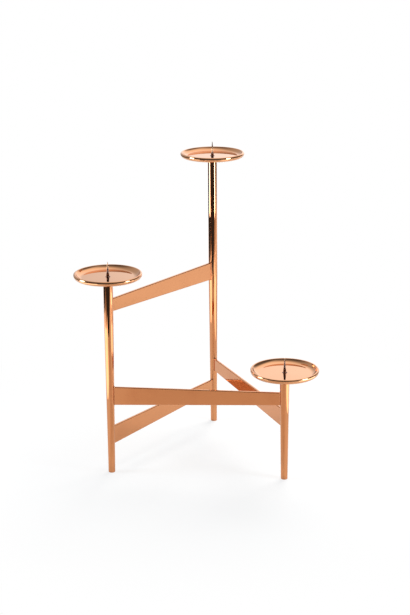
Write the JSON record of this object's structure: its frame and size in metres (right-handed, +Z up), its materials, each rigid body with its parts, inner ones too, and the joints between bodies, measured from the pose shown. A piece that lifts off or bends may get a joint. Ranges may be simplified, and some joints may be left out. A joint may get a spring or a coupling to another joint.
{
  "type": "candle holder",
  "caption": "Polished copper candle holder: stepped round posts joined by flat tapered bars, each post carrying a shallow dish with a candle spike.",
  "frame": {"origin": "on the ground, at the centre of the overall box, between the posts", "axes": "+X along the front bar from the middle post to the short post, +Y towards the tall post, +Z up"},
  "size_m": [0.286, 0.2584, 0.3695],
  "materials": {
    "post": "polished copper",
    "bar": "polished copper",
    "dish": "polished copper",
    "pricket": "polished copper",
    "braze": "polished brazing filler"
  },
  "bodies": {
    "root": {"tall_post": "post", "tall_dish": "dish", "tall_pricket": "pricket", "middle_post": "post", "middle_dish": "dish", "middle_pricket": "pricket", "short_post": "post", "short_dish": "dish", "short_pricket": "pricket", "upper_bar": "bar", "upper_bar_tall_braze": "braze", "upper_bar_middle_braze": "braze", "front_bar": "bar", "front_bar_middle_braze": "braze", "front_bar_short_braze": "braze", "rear_bar": "bar", "rear_bar_short_braze": "braze", "rear_bar_tall_braze": "braze", "lower_bar": "bar", "lower_bar_middle_braze": "braze", "lower_bar_tall_braze": "braze"}
  },
  "joints": []
}
